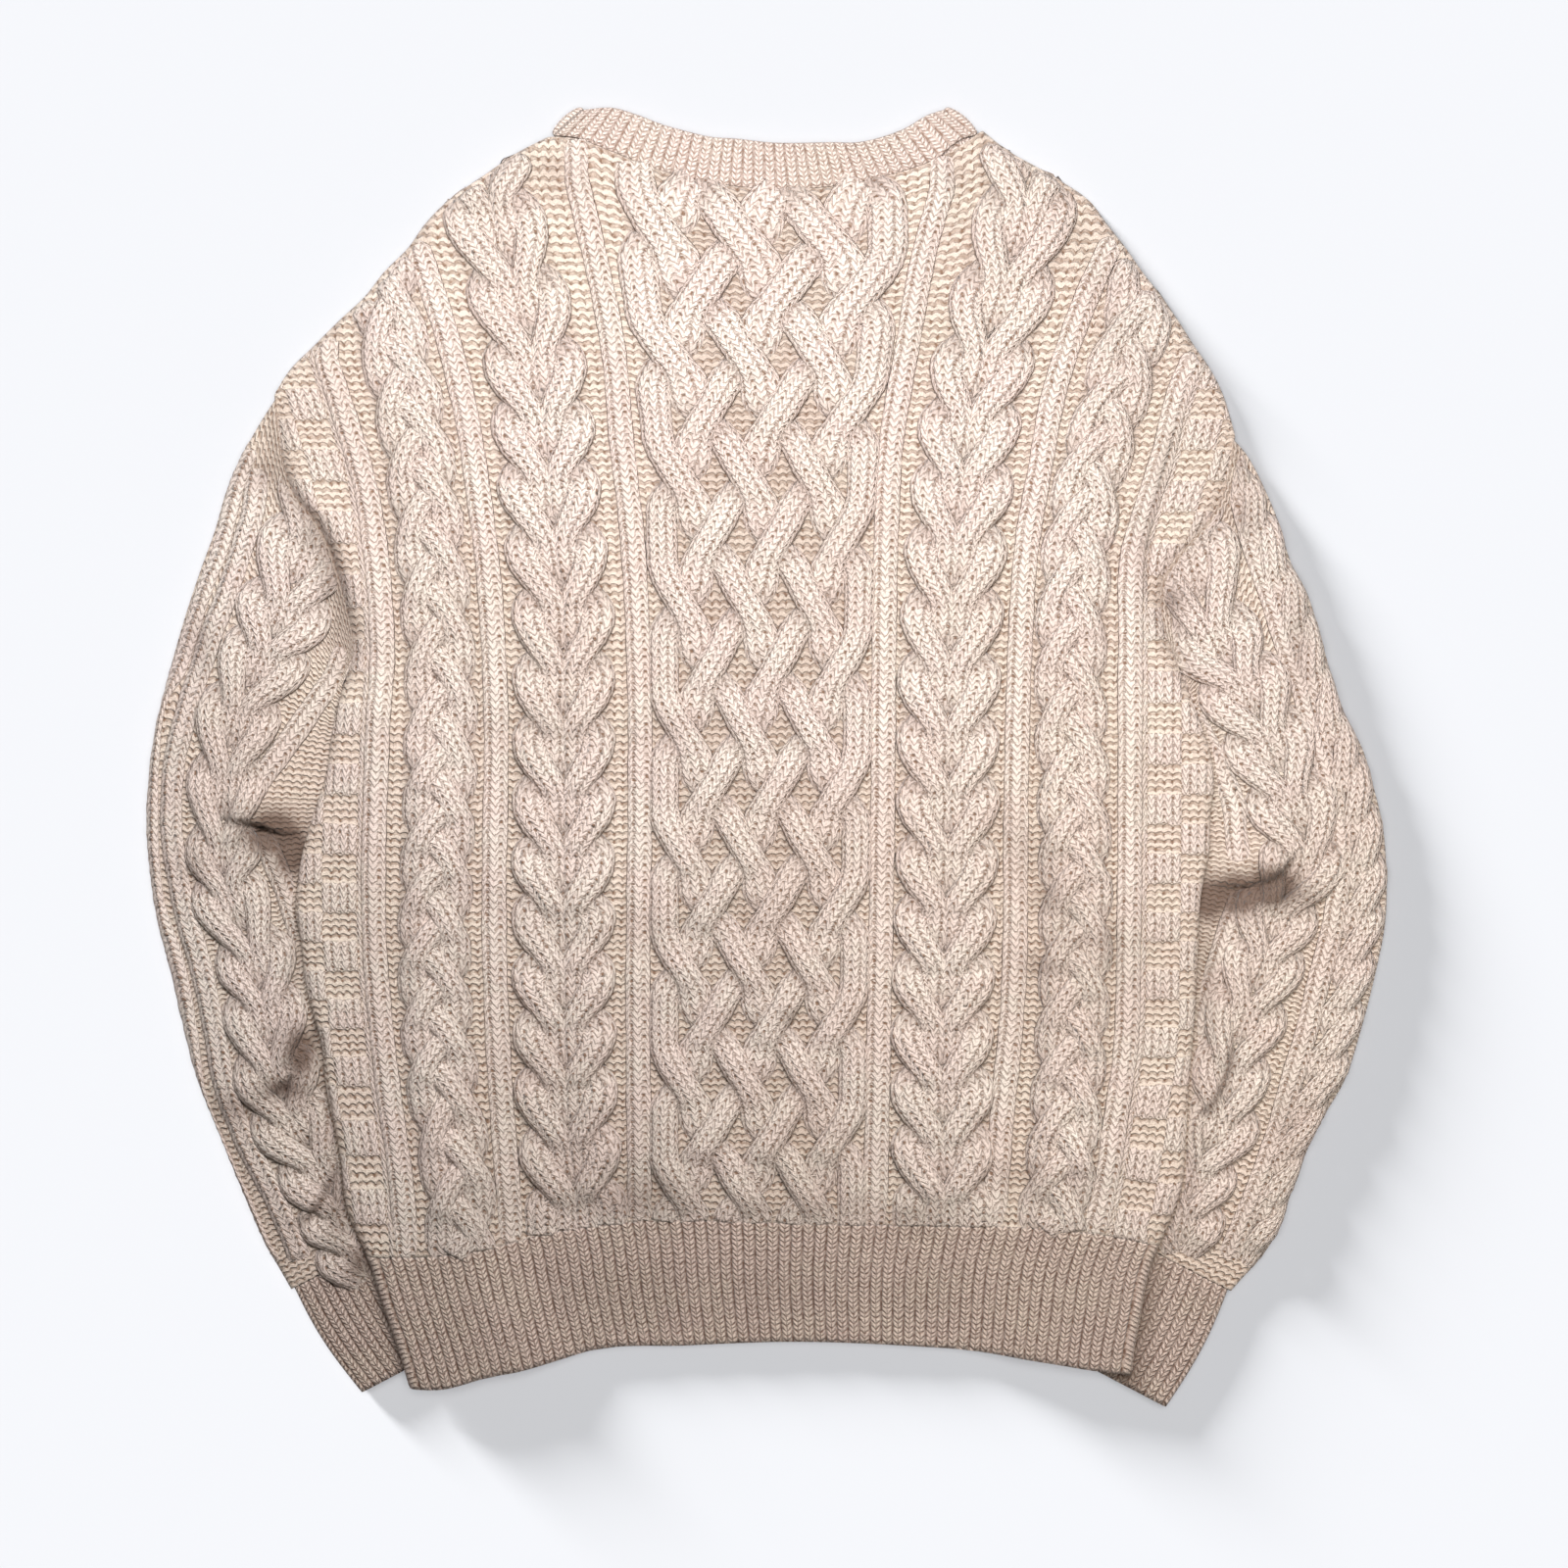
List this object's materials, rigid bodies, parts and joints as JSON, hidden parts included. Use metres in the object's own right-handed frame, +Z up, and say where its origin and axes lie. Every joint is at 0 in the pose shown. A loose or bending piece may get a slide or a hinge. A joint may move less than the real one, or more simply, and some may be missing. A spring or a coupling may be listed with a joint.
{
  "type": "cable knit sweater",
  "caption": "Crew-neck cable knit pullover laid flat face down, its back on top and its sleeves folded down beside the body and partly under it.",
  "frame": {"origin": "middle of the garment's outline, on the surface that it lies on", "axes": "+X to the right as seen from above with the neck at the top, +Y from the hem to the neck, +Z up out of the back"},
  "size_m": [0.686, 0.7192, 0.0192],
  "materials": {
    "wool_cable_knit": "matt cream wool, cable knit on a purl ground",
    "wool_rib": "matt cream wool, one by one rib"
  },
  "bodies": {
    "root": {"front_panel": "wool_cable_knit", "back_panel": "wool_cable_knit", "sleeve_left": "wool_cable_knit", "sleeve_right": "wool_cable_knit", "front_hem_rib": "wool_rib", "back_hem_rib": "wool_rib", "neckband": "wool_rib", "cuff_left": "wool_rib", "cuff_right": "wool_rib"}
  },
  "joints": []
}
